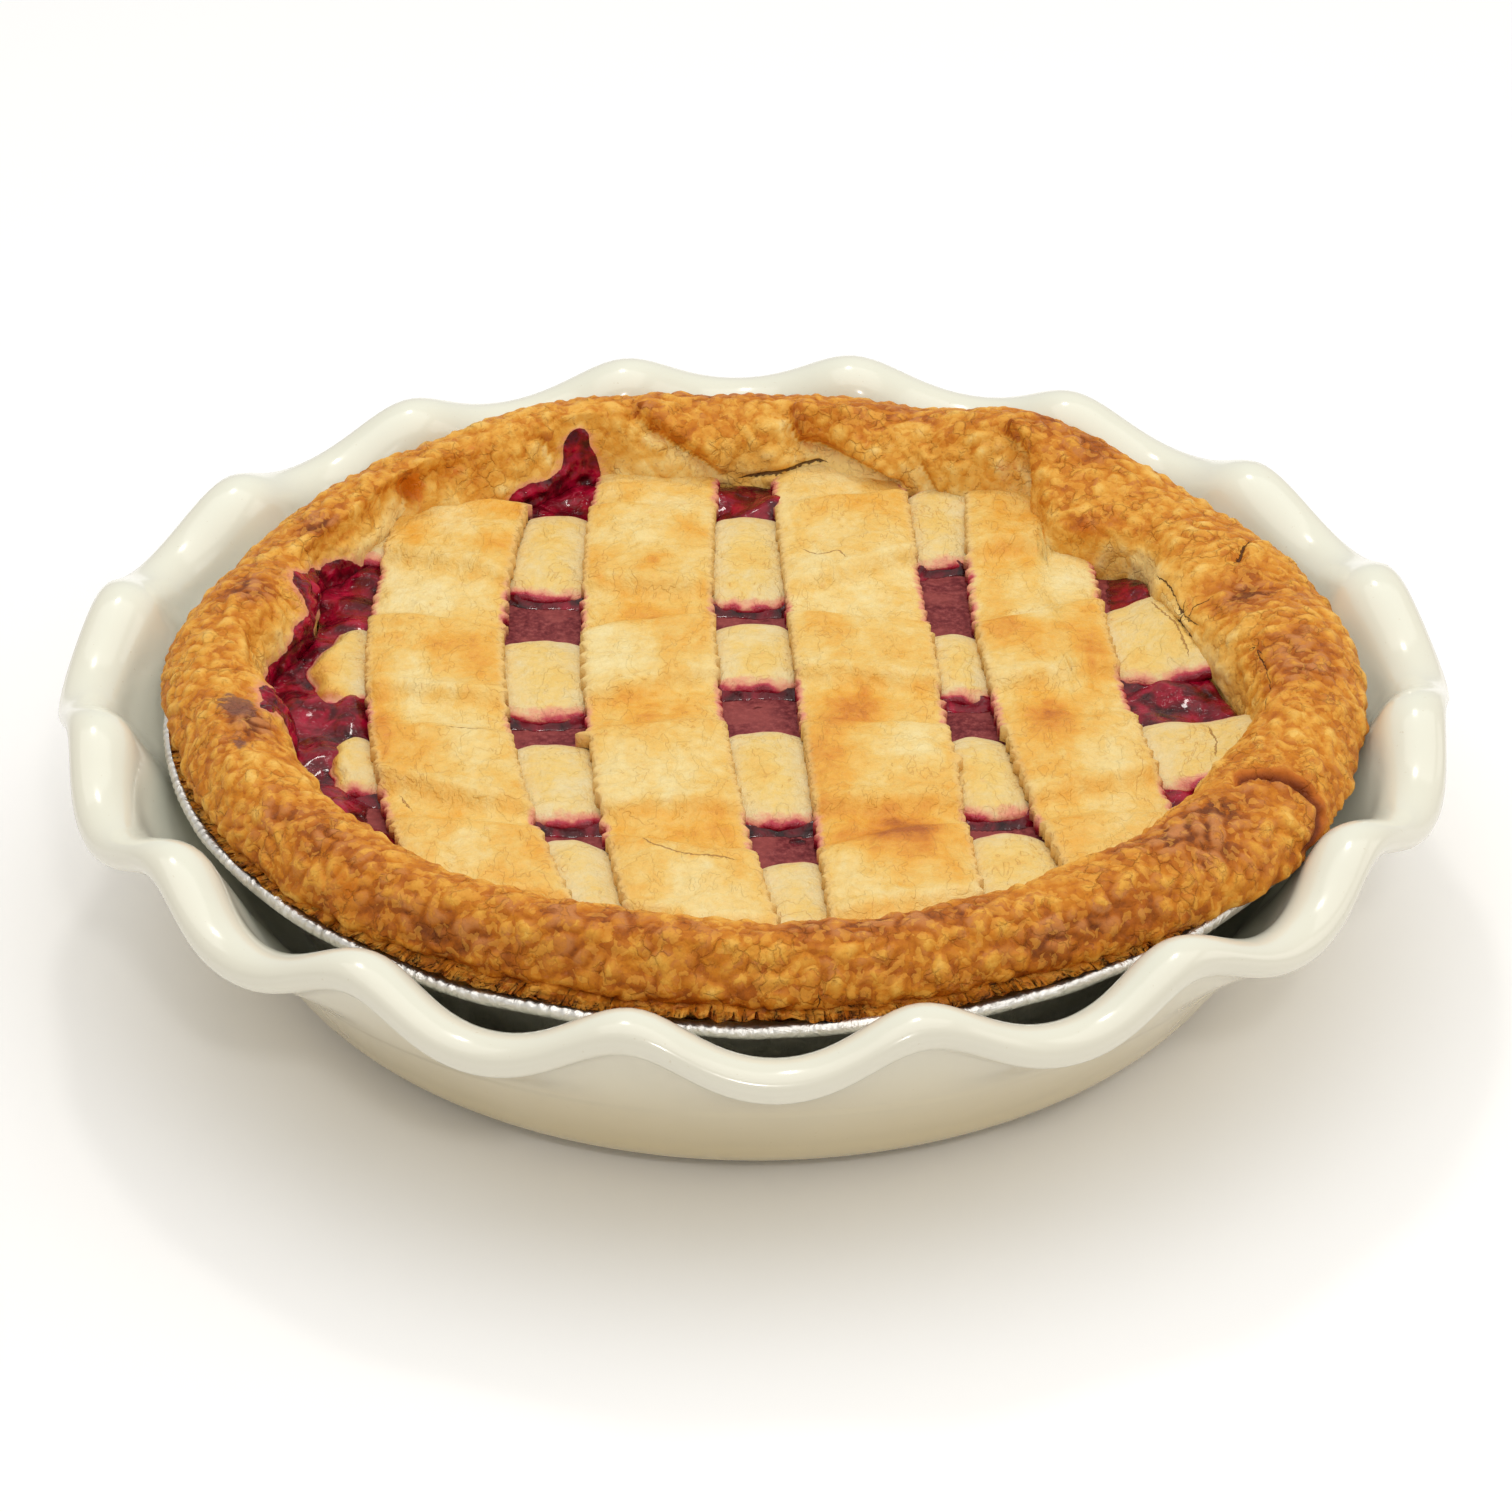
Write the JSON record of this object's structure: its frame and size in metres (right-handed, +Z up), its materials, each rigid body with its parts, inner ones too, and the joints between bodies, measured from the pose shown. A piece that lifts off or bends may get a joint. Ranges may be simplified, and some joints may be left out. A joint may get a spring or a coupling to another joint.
{
  "type": "lattice cherry pie",
  "caption": "Round lattice-topped cherry pie with a folded golden rim, in a foil tin inside a ruffled cream ceramic pie dish.",
  "frame": {"origin": "under the middle of the dish, on the surface that it stands on", "axes": "+Z up; -Y is the front, the side where the long lattice strips end nearest the viewer; +X to the right seen from the front"},
  "size_m": [0.2686, 0.2686, 0.0615],
  "materials": {
    "dish_glaze": "gloss",
    "foil": "satin",
    "crust_pastry": "matte",
    "strip_pastry": "satin",
    "cherry_filling": "gloss"
  },
  "bodies": {
    "root": {"dish": "dish_glaze", "foil_tin": "foil", "crust": "crust_pastry", "filling": "cherry_filling", "strip_long_1": "strip_pastry", "strip_long_2": "strip_pastry", "strip_long_3": "strip_pastry", "strip_long_4": "strip_pastry", "strip_cross_1": "strip_pastry", "strip_cross_2": "strip_pastry", "strip_cross_3": "strip_pastry", "strip_cross_4": "strip_pastry"}
  },
  "joints": []
}
